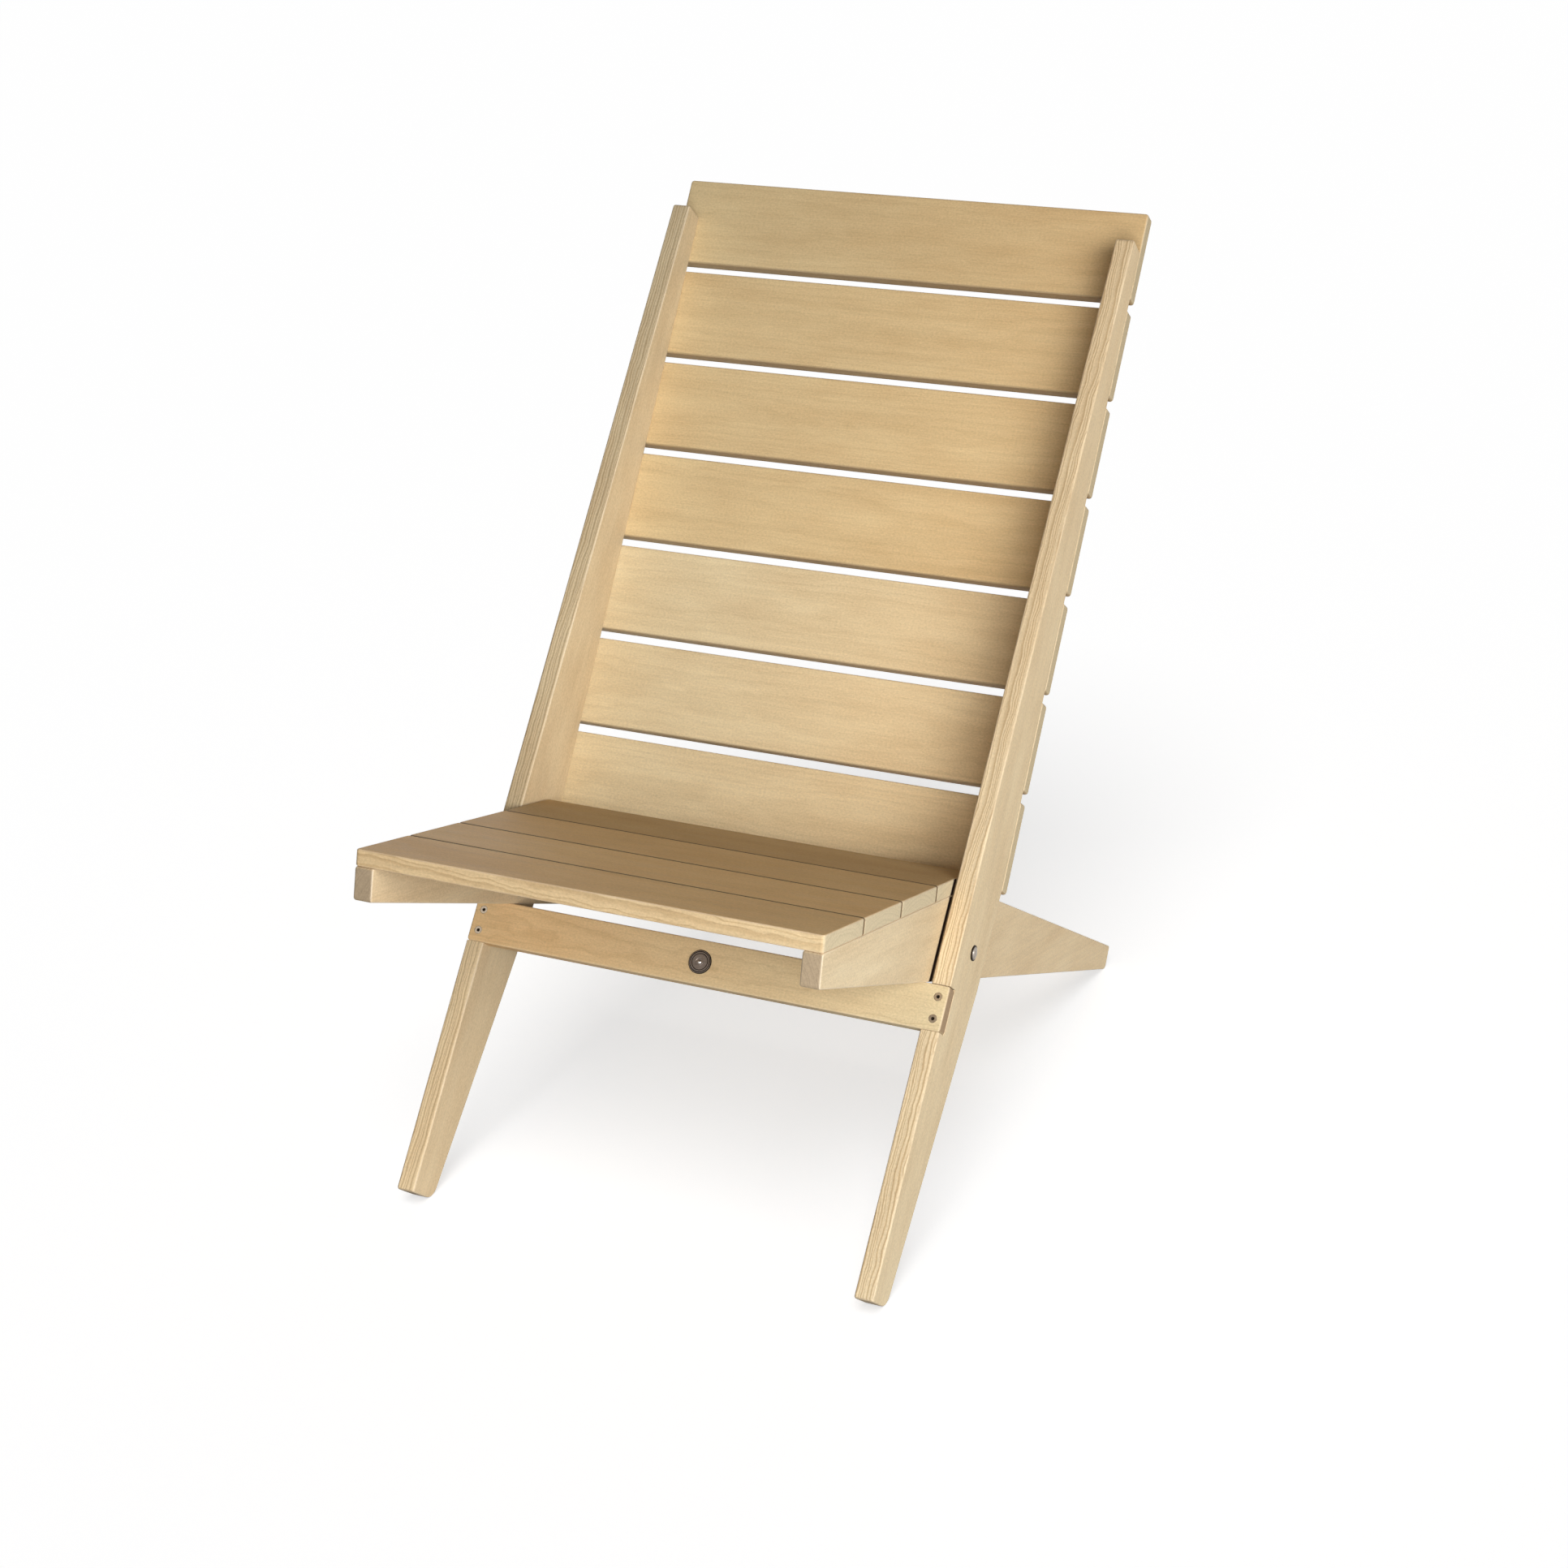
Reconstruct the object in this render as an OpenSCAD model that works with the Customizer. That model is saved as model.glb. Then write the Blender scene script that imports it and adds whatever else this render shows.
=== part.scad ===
// Wooden deck chair of two crossed frames.
// The back frame has two long rails that run from the front feet to the head, seven slats fixed
// across their rear edges and a stretcher let into their front edges. The seat frame passes
// between them: two rails that run from the front of the seat to the rear feet, with four slats
// on top. A bolt on each side pivots the seat frame, whose rails rest on the stretcher.

/* [Boards] */
// Thickness of the four long rails
rail_t = 19; // [16:1:26]
// Thickness of the slats and of the stretcher
slat_t = 16; // [13:1:20]
// Width of every slat
slat_w = 90; // [82:1:96]
// Radius of the eased edges of the boards
ease = 1.8; // [1:0.2:3]
// Radius of the corners of the boards, seen on their broad face
corner = 3; // [2:0.5:6]

/* [Back frame] */
// Overall width of the chair
chair_w = 500; // [420:5:640]
// Greatest width of a back rail
back_rail_w = 83.5; // [80:0.5:90]
// Pivot to the front edge of a back rail
pivot_front = 42; // [38:0.5:46]
// Pivot down to the square end of the front foot, along the front edge
foot_drop = 341; // [300:1:380]
// Width of the front foot
foot_w = 43.5; // [38:0.5:50]
// Radius of the rear corner of the front foot
foot_round = 14; // [8:1:18]
// Pivot down to the point where the leg starts to narrow
knee_drop = 29; // [20:1:40]
// Pivot up to the lower edge of the lowest back slat
first_slat = 71; // [70:1:80]
// Gap between two back slats
back_gap = 10; // [8:0.5:14]
// Angle between the front edge of the rails and the back slats, in degrees
back_taper = 4.9; // [4.3:0.1:5.2]
// Height by which the top slat stands above the rails
slat_stand = 41; // [30:1:50]

/* [Stretcher] */
// Width of the stretcher
stretcher_w = 44; // [38:1:52]
// Pivot down to the top edge of the stretcher
stretcher_drop = 43; // [41:0.2:45]

/* [Seat frame] */
// Gap between the seat frame and the back rails, on each side
side_gap = 3.5; // [2.5:0.5:6]
// Gap between two seat slats
seat_gap = 0.8; // [0.6:0.2:3]
// Greatest width of a seat rail
seat_rail_w = 89; // [86:0.5:93]
// Height of the front end of a seat rail
seat_front_h = 31; // [26:0.5:34]
// Pivot to the front of the seat, along the seat
seat_reach = 328.5; // [324:0.5:334]
// Pivot to the straight lower edge of a seat rail
pivot_up = 30.8; // [28:0.2:33]
// Pivot back to the end of the rear foot, along the lower edge
rear_leg = 567; // [500:1:590]
// Width of the rear foot
rear_foot_w = 27; // [22:0.5:32]
// Radius of the lower corner of the rear foot
rear_round = 7; // [4:0.5:9]
// Gap left between the seat rails and the stretcher that they rest on
stop_gap = 0.3; // [0.2:0.1:0.6]
// Depth of the flat worn on each foot where it meets the floor
foot_flat = 0.5; // [0.3:0.1:0.8]

/* [Pivot bolts] */
// Diameter of the bolt
bolt_d = 8; // [6:0.5:10]
// Diameter of the domed head
head_d = 15; // [13:0.5:18]
// Height of the domed head
head_h = 3.2; // [2.5:0.1:5]
// Diameter of the washer in the side gap
gap_washer_d = 22; // [18:0.5:26]
// Diameter of the washer under the nut
nut_washer_d = 20; // [18:0.5:24]
// Thickness of the washer under the nut
nut_washer_t = 1.6; // [1:0.2:2]
// Width of the nut across its flats
nut_w = 13; // [12:0.5:15]
// Height of the six-sided part of the nut
nut_h = 6; // [5:0.5:8]

/* [Screws and dowels] */
// Diameter of the screw heads
screw_head_d = 8; // [7:0.5:9.5]
// Diameter of the screws
screw_d = 4; // [3:0.5:5]
// Width of the screw's six-sided socket across its flats
socket_w = 3.2; // [2.4:0.2:3.6]
// Length of the screws in the stretcher
stretcher_screw = 45; // [35:1:55]
// Length of the screws in the back slats
slat_screw = 32; // [26:1:36]
// Distance between the two screws at each end of the stretcher
stretcher_pair = 21; // [16:1:26]
// Diameter of the dowels under the seat slats
dowel_d = 8; // [6:1:9]
// Length of the dowels
dowel_l = 26; // [22:1:30]
// Depth of a dowel in its slat
dowel_in = 10; // [8:0.5:11]
// Distance of screws and dowels from the edge of a slat
edge_in = 20; // [16:1:24]

/* [Badge] */
// Diameter of the badge on the stretcher
badge_d = 23.4; // [20:0.2:32]
// Thickness of the badge's plate
badge_t = 1.6; // [1.2:0.1:2.5]
// Width of the badge's bevelled edge
badge_edge = 0.7; // [0.4:0.1:1]
// Width of the grooves in the badge
badge_groove_w = 0.8; // [0.5:0.1:1.4]
// Depth of those grooves
badge_groove = 0.4; // [0.2:0.1:0.6]
// Diameter of the head of the nail in the badge
nail_head_d = 3.6; // [3:0.1:5]
// Length of the nail
nail_l = 12; // [8:1:14]

/* [Hidden] */
$fn = 48;

wood_pale = [0.86, 0.79, 0.66];
wood_sand = [0.80, 0.70, 0.52];
wood_dowel = [0.74, 0.60, 0.42];
steel = [0.62, 0.62, 0.63];
steel_dark = [0.34, 0.32, 0.31];
bronze = [0.33, 0.30, 0.29];

back_slats = 7;
seat_slats = 4;
// Radial clearance of the bolt in the seat rails, which turn on it
running = 0.08;
// Radial clearance of screws, dowels and fixed bolts in their holes
snug = 0.05;
// Clearance between flat faces that pass each other
slip = 0.2;
// Screws: depth of the heads below the wood, of the socket, length and end of the point
screw_sunk = 0.3;
socket_deep = 1.8;
screw_tip = 5;
screw_point = 0.6;
screw_room = 1;
// Distance of the top slat's screws from its lower edge and from the rail's end
top_edge_in = 13;
// Dowels: bevel of the ends and room left at each end
dowel_tip = 1;
dowel_room = 0.6;
// Bolt heads: height of the rim and its step in to the dome
head_rim = 1.1;
head_step = 0.6;
// Nuts: height of the dome and room past the end of the bolt
nut_dome = 4;
nut_room = 0.6;
// Badge: its grooved rings, as shares of its width
ring_shares = [0.86, 0.69, 0.32];
// Nail: width, length and end of the point, and room past it
nail_d = 1.8;
nail_tip = 2.5;
nail_point = 0.4;
nail_room = 0.6;
// Straight pieces in the arc of a small corner and of a foot
small_steps = 3;
foot_steps = 7;
ease_steps = 3;
// Reach of the bars that shape a board, longer than any board
far = 1500;

function unit(v) = v / norm(v);
function turned(p, a) = [p[0] * cos(a) - p[1] * sin(a), p[0] * sin(a) + p[1] * cos(a)];

// Centre of the arc that rounds corner b of the path a, b, c
function arc_centre(a, b, c, r) =
    let (p = unit(a - b), q = unit(c - b), half = acos(p * q) / 2)
    b + unit(p + q) * r / sin(half);

// Points of that arc, in n straight pieces
function arc_points(a, b, c, r, n) =
    let (p = unit(a - b), q = unit(c - b), half = acos(p * q) / 2, m = arc_centre(a, b, c, r),
        start = b + p * r / tan(half) - m, end = b + q * r / tan(half) - m,
        a0 = atan2(start[1], start[0]), turn = atan2(end[1], end[0]) - a0,
        sweep = turn > 180 ? turn - 360 : (turn < -180 ? turn + 360 : turn))
    [for (i = [0:n]) m + r * [cos(a0 + sweep * i / n), sin(a0 + sweep * i / n)]];

// Outline with each corner rounded by its own radius and number of pieces, or left sharp at 0
function rounded(pts, radii, steps) =
    let (k = len(pts))
    [for (i = [0:k - 1]) each radii[i] == 0 ? [pts[i]] :
        arc_points(pts[(i + k - 1) % k], pts[i], pts[(i + 1) % k], radii[i], steps[i])];

// Side view of the back frame. The origin is the pivot, x runs to the rear and y up the rail.
rail_front = -pivot_front;
rail_rear = rail_front + back_rail_w;
back_pitch = slat_w + back_gap;
slat_run = (back_slats - 1) * back_pitch + slat_w;
rail_top = first_slat + (slat_run - slat_stand) * cos(back_taper);
rail_top_rear = rail_rear - (rail_top - first_slat) * tan(back_taper);
back_corners = [[rail_front, -foot_drop], [rail_front + foot_w, -foot_drop],
    [rail_rear, -knee_drop], [rail_rear, first_slat], [rail_top_rear, rail_top],
    [rail_front, rail_top]];
back_outline = rounded(back_corners, [corner, foot_round, 0, 0, corner, corner],
    [small_steps, foot_steps, 0, 0, small_steps, small_steps]);
front_foot_centre = arc_centre(back_corners[0], back_corners[1], back_corners[2], foot_round);

// Side view of the seat frame. The origin is the pivot, x runs to the rear along the seat.
seat_run = seat_slats * slat_w + (seat_slats - 1) * seat_gap;
seat_taper = asin(seat_rail_w / norm([seat_front_h, seat_run])) - atan2(seat_front_h, seat_run);
front_low = seat_reach * tan(seat_taper) - pivot_up / cos(seat_taper);
rail_seat = front_low + seat_front_h;
seat_top = rail_seat + slat_t;
seat_rear = seat_run - seat_reach;
heel = turned([rear_leg, -pivot_up], -seat_taper);
ridge = [seat_rear, rail_seat];
leg_run = ridge - heel;
leg_slope = atan2(leg_run[1], -leg_run[0]) - asin(rear_foot_w / norm(leg_run));
heel_top = heel + rear_foot_w * [sin(leg_slope), cos(leg_slope)];
seat_corners = [[-seat_reach, front_low], heel, heel_top, ridge, [-seat_reach, rail_seat]];
seat_outline = rounded(seat_corners, [corner, rear_round, corner, 0, corner],
    [small_steps, foot_steps, small_steps, 0, small_steps]);
heel_centre = arc_centre(seat_corners[0], heel, heel_top, rear_round);

// The seat rails rest on the eased top front edge of the stretcher, which sets the seat's angle
stop = [pivot_front - ease, stretcher_drop + ease];
stop_turn = acos((pivot_up + stop_gap + ease) / norm(stop)) - atan2(stop[0], stop[1]);
seat_turn = stop_turn + seat_taper;

// The chair leans until the front and rear feet stand on one floor
heel_in_back = turned(heel_centre, seat_turn);
feet = heel_in_back - front_foot_centre;
lean = atan2(feet[1], feet[0]) + asin((foot_round - rear_round) / norm(feet));
seat_rise = lean - seat_turn;
pivot_z = foot_round - foot_flat - turned(front_foot_centre, -lean)[1];

// The origin lies on the floor, under the middle of the chair
top_slat_high = [rail_rear, first_slat] + turned([slat_t, slat_run], back_taper);
chair_rear = max(turned(top_slat_high, -lean)[0],
    max([for (p = seat_outline) turned(p, -seat_rise)[0]]));
chair_front = min([for (p = seat_outline) turned(p, -seat_rise)[0]]);
pivot_y = -(chair_front + chair_rear) / 2;

back_half = chair_w / 2;
seat_half = back_half - rail_t - side_gap;

module in_back() {
    translate([0, pivot_y, pivot_z]) rotate([-lean, 0, 0]) children();
}

module in_seat() {
    translate([0, pivot_y, pivot_z]) rotate([-seat_rise, 0, 0]) children();
}

// Frame of the back slats: z runs up the slats and y out of their rear faces
module on_back_slats() {
    in_back() translate([0, rail_rear, first_slat]) rotate([back_taper, 0, 0]) children();
}

module above_floor() {
    difference() {
        children();
        translate([-far / 2, -far / 2, -far]) cube([far, far, far]);
    }
}

// Board of a convex outline, with every edge eased: one bar per side, all of them intersected
module eased_board(outline, thick) {
    section = [[far, 0], each [for (i = [0:ease_steps]) let (a = 90 * i / ease_steps)
        ease * [1 - sin(a), 1 - cos(a)]], each [for (i = [0:ease_steps])
        let (a = 90 * i / ease_steps) [ease * (1 - cos(a)), thick - ease * (1 - sin(a))]],
        [far, thick]];
    k = len(outline);
    intersection_for (i = [0:k - 1]) {
        side = outline[(i + 1) % k] - outline[i];
        translate([outline[i][0], outline[i][1], 0]) rotate(atan2(side[1], side[0]))
            translate([-far, 0, 0]) rotate([90, 0, 90]) linear_extrude(2 * far) polygon(section);
    }
}

// The same board standing upright, with its outline in the side view
module side_board(outline, thick) {
    rotate([90, 0, 90]) eased_board(outline, thick);
}

// Rectangular board that lies along x, with its middle at x = 0
module cross_board(length, width, thick) {
    eased_board(rounded([[-length / 2, 0], [length / 2, 0], [length / 2, width],
        [-length / 2, width]], [corner, corner, corner, corner],
        [small_steps, small_steps, small_steps, small_steps]), thick);
}

// Middle of the rails of each frame, across the chair
back_line = back_half - rail_t / 2;
seat_line = seat_half - rail_t / 2;

// Screw with a countersunk head and a six-sided socket. Its head lies at z = 0, facing +z.
module screw(length) {
    head = (screw_head_d - screw_d) / 2;
    difference() {
        union() {
            translate([0, 0, -head]) cylinder(h = head, d1 = screw_d, d2 = screw_head_d);
            translate([0, 0, screw_tip - length])
                cylinder(h = length - screw_tip - head / 2, d = screw_d);
            translate([0, 0, -length]) cylinder(h = screw_tip, d1 = screw_point, d2 = screw_d);
        }
        translate([0, 0, -socket_deep])
            cylinder(h = 2 * socket_deep, d = socket_w / cos(30), $fn = 6);
    }
}

// Hole for that screw, with room above the sunk head
module screw_hole(length) {
    wide = screw_head_d + 2 * snug;
    head = (screw_head_d - screw_d) / 2;
    translate([0, 0, -head]) cylinder(h = head, d1 = screw_d + 2 * snug, d2 = wide);
    cylinder(h = 2 * screw_sunk, d = wide);
    translate([0, 0, -length - screw_room]) cylinder(h = length + screw_room, d = screw_d + 2 * snug);
}

// Places of the screws in one back slat, on its rear face
module at_slat_screws(slat) {
    heights = slat == 1 ? [top_edge_in, slat_w - slat_stand - top_edge_in] :
        [edge_in, slat_w - edge_in];
    for (side = [-1, 1], up = heights)
        on_back_slats() translate([side * back_line, slat_t - screw_sunk,
            (back_slats - slat) * back_pitch + up]) rotate([-90, 0, 0]) children();
}

// Places of the four screws in the front of the stretcher
module at_stretcher_screws() {
    for (side = [-1, 1], up = [-1, 1])
        in_back() translate([side * back_line, rail_front + screw_sunk,
            -stretcher_drop - stretcher_w / 2 + up * stretcher_pair / 2])
            rotate([90, 0, 0]) children();
}

// Places of the dowels under one seat slat, at the top of the rails
module at_dowels(slat) {
    for (side = [-1, 1], back = [edge_in, slat_w - edge_in])
        in_seat() translate([side * seat_line,
            -seat_reach + (slat - 1) * (slat_w + seat_gap) + back, rail_seat]) children();
}

module dowel_hole() {
    translate([0, 0, dowel_in - dowel_l - dowel_room])
        cylinder(h = dowel_l + 2 * dowel_room, d = dowel_d + 2 * snug);
}

// Axis of one bolt, with z pointing out of the side of the chair and 0 at the rail's outer face
module on_bolt(side) {
    in_back() translate([side * back_half, 0, 0]) rotate([0, side * 90, 0]) children();
}

module back_rail(side) {
    color(wood_pale) difference() {
        above_floor() in_back() translate([side * back_line - rail_t / 2, 0, 0])
            side_board(back_outline, rail_t);
        // Notch for the stretcher
        in_back() translate([side * back_line - rail_t, rail_front - slat_t,
            -stretcher_drop - stretcher_w - slip])
            cube([2 * rail_t, 2 * slat_t, stretcher_w + 2 * slip]);
        on_bolt(side) translate([0, 0, -2 * rail_t])
            cylinder(h = 3 * rail_t, d = bolt_d + 2 * snug);
        for (slat = [1:back_slats]) at_slat_screws(slat) screw_hole(slat_screw);
        at_stretcher_screws() screw_hole(stretcher_screw);
    }
}
module back_rail_left() { back_rail(-1); }
module back_rail_right() { back_rail(1); }

module back_slat(slat) {
    color(wood_sand) difference() {
        on_back_slats() translate([0, slat_t, (back_slats - slat) * back_pitch])
            rotate([90, 0, 0]) cross_board(chair_w, slat_w, slat_t);
        at_slat_screws(slat) screw_hole(slat_screw);
    }
}
module back_slat_1() { back_slat(1); }
module back_slat_2() { back_slat(2); }
module back_slat_3() { back_slat(3); }
module back_slat_4() { back_slat(4); }
module back_slat_5() { back_slat(5); }
module back_slat_6() { back_slat(6); }
module back_slat_7() { back_slat(7); }

module front_stretcher() {
    color(wood_sand) difference() {
        in_back() translate([0, rail_front + slat_t, -stretcher_drop - stretcher_w])
            rotate([90, 0, 0]) cross_board(chair_w, stretcher_w, slat_t);
        at_stretcher_screws() screw_hole(stretcher_screw);
        on_badge() translate([0, 0, -nail_l - nail_room])
            cylinder(h = nail_l + badge_t, d = nail_d + 2 * snug);
    }
}

module seat_rail(side) {
    color(wood_pale) difference() {
        above_floor() in_seat() translate([side * seat_line - rail_t / 2, 0, 0])
            side_board(seat_outline, rail_t);
        in_seat() translate([side * seat_line - rail_t, 0, 0]) rotate([0, 90, 0])
            cylinder(h = 2 * rail_t, d = bolt_d + 2 * running);
        for (slat = [1:seat_slats]) at_dowels(slat) dowel_hole();
    }
}
module seat_rail_left() { seat_rail(-1); }
module seat_rail_right() { seat_rail(1); }

module seat_slat(slat) {
    color(wood_sand) difference() {
        in_seat() translate([0, -seat_reach + (slat - 1) * (slat_w + seat_gap), rail_seat])
            cross_board(2 * seat_half, slat_w, slat_t);
        at_dowels(slat) dowel_hole();
    }
}
module seat_slat_1() { seat_slat(1); }
module seat_slat_2() { seat_slat(2); }
module seat_slat_3() { seat_slat(3); }
module seat_slat_4() { seat_slat(4); }

module stretcher_screws() {
    color(steel) at_stretcher_screws() screw(stretcher_screw);
}

module back_slat_screws() {
    color(steel) for (slat = [1:back_slats]) at_slat_screws(slat) screw(slat_screw);
}

module seat_slat_dowels() {
    color(wood_dowel) for (slat = [1:seat_slats]) at_dowels(slat)
        translate([0, 0, dowel_in - dowel_l]) {
            cylinder(h = dowel_tip, d1 = dowel_d - 2 * dowel_tip, d2 = dowel_d);
            translate([0, 0, dowel_tip]) cylinder(h = dowel_l - 2 * dowel_tip, d = dowel_d);
            translate([0, 0, dowel_l - dowel_tip])
                cylinder(h = dowel_tip, d1 = dowel_d, d2 = dowel_d - 2 * dowel_tip);
        }
}

// Depths along a bolt, from the outer face of the back rail inwards
gap_start = rail_t;
seat_start = gap_start + side_gap;
nut_washer_start = seat_start + rail_t + slip;
nut_start = nut_washer_start + nut_washer_t;
bolt_end = nut_start + nut_h;

// Low dome of a given width and height
module dome(d, h) {
    r = (d * d / 4 + h * h) / (2 * h);
    intersection() {
        translate([0, 0, h - r]) sphere(r = r);
        cylinder(h = h + 1, d = d);
    }
}

module pivot_bolt(side) {
    color(steel_dark) on_bolt(side) {
        cylinder(h = head_rim, d = head_d);
        translate([0, 0, head_rim]) dome(head_d - 2 * head_step, head_h - head_rim);
        translate([0, 0, -bolt_end]) cylinder(h = bolt_end, d = bolt_d);
    }
}
module pivot_bolt_left() { pivot_bolt(-1); }
module pivot_bolt_right() { pivot_bolt(1); }

module washer(outer, thick) {
    difference() {
        cylinder(h = thick, d = outer);
        translate([0, 0, -thick]) cylinder(h = 3 * thick, d = bolt_d + 2 * snug);
    }
}

// One washer on each side keeps the two frames apart
module gap_washers() {
    color(steel) for (side = [-1, 1]) on_bolt(side)
        translate([0, 0, slip - seat_start]) washer(gap_washer_d, side_gap - slip);
}

module nut_washers() {
    color(steel) for (side = [-1, 1]) on_bolt(side)
        translate([0, 0, -nut_start]) washer(nut_washer_d, nut_washer_t);
}

// Closed nut with a domed end
module pivot_nut(side) {
    color(steel) on_bolt(side) translate([0, 0, -nut_start]) rotate([180, 0, 0]) difference() {
        union() {
            intersection() {
                cylinder(h = nut_h, d = nut_w / cos(30), $fn = 6);
                translate([0, 0, -nut_w]) cylinder(h = nut_w + nut_h, d1 = 4 * nut_w, d2 = nut_w);
            }
            translate([0, 0, nut_h]) dome(nut_w - 2, nut_dome);
        }
        translate([0, 0, -nut_h]) cylinder(h = 2 * nut_h + nut_room, d = bolt_d + 2 * snug);
    }
}
module pivot_nut_left() { pivot_nut(-1); }
module pivot_nut_right() { pivot_nut(1); }

// Centre of the badge, with z pointing out of the front of the stretcher
module on_badge() {
    in_back() translate([0, rail_front, -stretcher_drop - stretcher_w / 2])
        rotate([90, 0, 0]) children();
}

module badge_plate() {
    color(bronze) on_badge() difference() {
        union() {
            cylinder(h = badge_t - badge_edge, d = badge_d);
            translate([0, 0, badge_t - badge_edge])
                cylinder(h = badge_edge, d1 = badge_d, d2 = badge_d - 2 * badge_edge);
        }
        for (share = ring_shares) translate([0, 0, badge_t - badge_groove]) difference() {
            cylinder(h = badge_t, d = share * badge_d + badge_groove_w);
            translate([0, 0, -badge_t])
                cylinder(h = 3 * badge_t, d = share * badge_d - badge_groove_w);
        }
        translate([0, 0, -badge_t]) cylinder(h = 3 * badge_t, d = nail_d + 2 * snug);
    }
}

module badge_nail() {
    color(steel) on_badge() {
        translate([0, 0, badge_t]) dome(nail_head_d, nail_head_d / 4);
        translate([0, 0, nail_tip - nail_l]) cylinder(h = nail_l - nail_tip + badge_t, d = nail_d);
        translate([0, 0, -nail_l]) cylinder(h = nail_tip, d1 = nail_point, d2 = nail_d);
    }
}

back_rail_left();
back_rail_right();
back_slat_1();
back_slat_2();
back_slat_3();
back_slat_4();
back_slat_5();
back_slat_6();
back_slat_7();
front_stretcher();
seat_rail_left();
seat_rail_right();
seat_slat_1();
seat_slat_2();
seat_slat_3();
seat_slat_4();
stretcher_screws();
back_slat_screws();
seat_slat_dowels();
pivot_bolt_left();
pivot_bolt_right();
gap_washers();
nut_washers();
pivot_nut_left();
pivot_nut_right();
badge_plate();
badge_nail();
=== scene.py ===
# Wooden deck chair: woods, metals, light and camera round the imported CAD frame
import math
import bpy
from mathutils import Matrix, Vector

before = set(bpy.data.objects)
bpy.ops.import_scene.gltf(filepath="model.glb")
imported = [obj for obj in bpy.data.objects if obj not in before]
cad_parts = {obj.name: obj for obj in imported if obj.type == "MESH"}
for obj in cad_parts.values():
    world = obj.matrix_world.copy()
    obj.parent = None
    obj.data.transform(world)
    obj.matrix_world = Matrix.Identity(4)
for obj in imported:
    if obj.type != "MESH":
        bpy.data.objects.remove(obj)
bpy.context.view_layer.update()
print("loaded", len(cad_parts), "CAD nodes")

# The two crossed frames, as the CAD has them, in metres
chair = {
    "pivot": Vector((0.0, -0.102907, 0.259562)),
    "backLean": 39.335,      # rails of the back, from upright (degrees)
    "slatLean": 34.435,      # back slats, from upright
    "seatRise": 15.096,      # seat, from level
    "railFront": -0.042,     # front and rear edges of the back rails, from the pivot
    "railRear": 0.0415,
    "stretcherLow": -0.065,  # middle of the stretcher, up the back rails from the pivot
    "firstSlat": 0.071,      # foot of the lowest back slat, up the back rails from the pivot
    "slatPitch": 0.100,      # of the back slats
    "slatWidth": 0.090,      # of all slats
    "slatThick": 0.016,
    "backSlats": 7,          # 1 at the top
    "firstLowSlat": 5,       # from here down they are less orange
    "seatSlats": 4,          # 1 at the front
    "firstShaded": 3,        # from here on they lie between the back rails
    "seatReach": 0.3285,     # front edge of the seat, ahead of the pivot
    "seatPitch": 0.0908,
    "seatLow": 0.05344,      # underside of the seat slats, above the pivot
    "outside": 0.250,        # outer face of the back rails, from the middle
    "railLine": 0.2405,      # middle of the back rails
    "seatLine": 0.218,       # middle of the seat rails
}


def tilted(angle, y, z):
    # A point given from the pivot along a leaning frame (y to the rear, z up it), put in the room
    lean = math.radians(angle)
    return chair["pivot"] + Vector((
        0, y * math.cos(lean) + z * math.sin(lean), z * math.cos(lean) - y * math.sin(lean)))


def axes(angle):
    # Rearward and upward directions of a leaning frame
    lean = math.radians(angle)
    return Vector((0, math.cos(lean), -math.sin(lean))), Vector((0, math.sin(lean), math.cos(lean)))


# Small helpers for node trees
def setInputs(tree, made, inputs):
    for socket, value in dict(inputs).items():
        if isinstance(value, bpy.types.NodeSocket):
            tree.links.new(value, made.inputs[socket])
        else:
            made.inputs[socket].default_value = value


def addNode(tree, kind, at, inputs=(), **settings):
    made = tree.nodes.new("ShaderNode" + kind)
    made.location = at
    for key, value in settings.items():
        setattr(made, key, value)
    setInputs(tree, made, inputs)
    return made


def useGroup(tree, group, at, inputs):
    return addNode(tree, "Group", at, inputs, node_tree=group).outputs


def doMath(tree, operation, at, first, second=0.0, third=0.0, clamp=False):
    made = addNode(tree, "Math", at, {0: first, 1: second, 2: third}, operation=operation, use_clamp=clamp)
    return made.outputs[0]


def doVector(tree, operation, at, first, second=(0, 0, 0)):
    made = addNode(tree, "VectorMath", at, {0: first, 1: second}, operation=operation)
    return made.outputs["Value" if operation in ("LENGTH", "DOT_PRODUCT") else "Vector"]


def scaled(tree, at, vector, scale):
    return addNode(tree, "VectorMath", at, {0: vector, "Scale": scale}, operation="SCALE").outputs[0]


def split(tree, at, vector):
    return addNode(tree, "SeparateXYZ", at, {0: vector}).outputs


def joined(tree, at, x=0.0, y=0.0, z=0.0):
    return addNode(tree, "CombineXYZ", at, {0: x, 1: y, 2: z}).outputs[0]


def grey(tree, at, value):
    return addNode(tree, "CombineColor", at, {0: value, 1: value, 2: value}).outputs[0]


def mixColour(tree, at, factor, first, second, blend="MIX"):
    made = addNode(tree, "Mix", at, {0: factor, 6: first, 7: second}, data_type="RGBA", blend_type=blend)
    return made.outputs[2]


def mixValue(tree, at, factor, first, second):
    return addNode(tree, "Mix", at, {0: factor, 2: first, 3: second}).outputs[0]


def between(tree, at, value, low, high):
    # 0 below low, 1 above high, smooth in the middle
    made = addNode(tree, "MapRange", at, {"Value": value, "From Min": low, "From Max": high},
                   interpolation_type="SMOOTHSTEP")
    return made.outputs["Result"]


def centred(tree, at, value):
    return doMath(tree, "SUBTRACT", at, value, 0.5)


def oneMinus(tree, at, value):
    return doMath(tree, "SUBTRACT", at, 1.0, value)


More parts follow.
